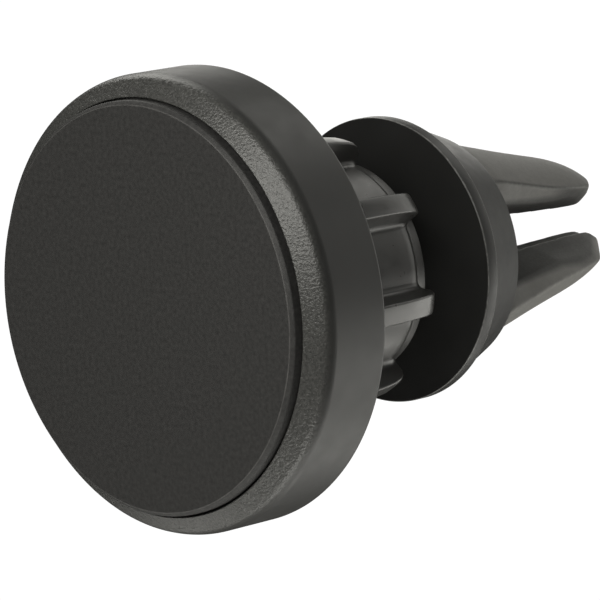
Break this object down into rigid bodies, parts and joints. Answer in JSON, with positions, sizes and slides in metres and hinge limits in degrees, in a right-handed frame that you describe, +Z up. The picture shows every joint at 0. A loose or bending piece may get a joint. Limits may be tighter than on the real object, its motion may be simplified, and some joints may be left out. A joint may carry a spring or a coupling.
{
  "type": "car phone mount",
  "caption": "Round magnetic car phone mount on a ball joint with a ribbed lock nut, stop flange and a split four-jaw clip that grips an air vent blade.",
  "frame": {"origin": "centre of the pad's front face, where the phone's steel plate rests", "axes": "+Y runs back along the axis from the pad to the vent, +Z up, +X right as seen from the driver's seat"},
  "size_m": [0.042, 0.0608, 0.042],
  "materials": {
    "pad_rubber": "matte, fine grain",
    "adhesive": "double-sided foam tape",
    "housing_black": "fine spark-eroded texture",
    "cover_black": "satin",
    "carrier_white": "natural moulded nylon",
    "magnet_nickel": "nickel plate",
    "yoke_steel": "zinc-plated sheet",
    "screw_steel": "black oxide",
    "nylon": "natural acetal",
    "nut_black": "semi-gloss",
    "stud_plastic": "polished ball",
    "flange_black": "smooth",
    "clip_black": "satin",
    "jaw_core_grey": "glass-filled nylon",
    "jaw_rubber": "soft-touch silicone"
  },
  "bodies": {
    "clip": {"ball_stud": "stud_plastic", "stop_flange": "flange_black", "clip_base": "clip_black", "clip_collar": "clip_black", "stud_screw": "screw_steel"},
    "liner": {"ball_liner": "nylon"},
    "seat": {"seat_cup": "nylon"},
    "head": {"face_pad": "pad_rubber", "pad_adhesive": "adhesive", "head_housing": "housing_black", "magnet_carrier": "carrier_white", "magnets": "magnet_nickel", "yoke_plate": "yoke_steel", "rear_cover": "cover_black", "cover_screws": "screw_steel"},
    "nut_ring": {"pressure_ring": "nylon"},
    "nut": {"lock_nut": "nut_black"},
    "jaw_upper_right": {"jaw_core_upper_right": "jaw_core_grey", "jaw_sleeve_upper_right": "jaw_rubber"},
    "jaw_upper_left": {"jaw_core_upper_left": "jaw_core_grey", "jaw_sleeve_upper_left": "jaw_rubber"},
    "jaw_lower_right": {"jaw_core_lower_right": "jaw_core_grey", "jaw_sleeve_lower_right": "jaw_rubber"},
    "jaw_lower_left": {"jaw_core_lower_left": "jaw_core_grey", "jaw_sleeve_lower_left": "jaw_rubber"}
  },
  "joints": [
    {"name": "head_tilt", "type": "hinge", "parent": "clip", "child": "liner", "pos_m": [0, 0.019, 0], "axis": [1, 0, 0], "range_deg": [-18, 18]},
    {"name": "head_pan", "type": "hinge", "parent": "liner", "child": "seat", "pos_m": [0, 0.019, 0], "axis": [0, 0, 1], "range_deg": [-18, 18]},
    {"name": "head_spin", "type": "hinge", "parent": "seat", "child": "head", "pos_m": [0, 0.019, 0], "axis": [0, 1, 0], "continuous": true},
    {"name": "nut_travel", "type": "slide", "parent": "head", "child": "nut_ring", "axis": [0, 1, 0], "range_m": [0, 0.00075]},
    {"name": "nut_turn", "type": "hinge", "parent": "nut_ring", "child": "nut", "pos_m": [0, 0.019, 0], "axis": [0, 1, 0], "range_deg": [0, 180]},
    {"name": "jaw_flex_upper_right", "type": "hinge", "parent": "clip", "child": "jaw_upper_right", "pos_m": [0.0034, 0.0359, 0.00589], "axis": [0.866, 0, -0.5], "range_deg": [0, 5], "stiffness_Nm_per_rad": 0.6},
    {"name": "jaw_flex_upper_left", "type": "hinge", "parent": "clip", "child": "jaw_upper_left", "pos_m": [-0.0034, 0.0359, 0.00589], "axis": [0.866, 0, 0.5], "range_deg": [0, 5], "stiffness_Nm_per_rad": 0.6},
    {"name": "jaw_flex_lower_right", "type": "hinge", "parent": "clip", "child": "jaw_lower_right", "pos_m": [0.0034, 0.0359, -0.00589], "axis": [-0.866, 0, -0.5], "range_deg": [0, 5], "stiffness_Nm_per_rad": 0.6},
    {"name": "jaw_flex_lower_left", "type": "hinge", "parent": "clip", "child": "jaw_lower_left", "pos_m": [-0.0034, 0.0359, -0.00589], "axis": [-0.866, 0, 0.5], "range_deg": [0, 5], "stiffness_Nm_per_rad": 0.6}
  ],
  "couplings": [
    {"joint": "nut_turn", "follows": "nut_travel", "rad_per_m": 4188}
  ]
}
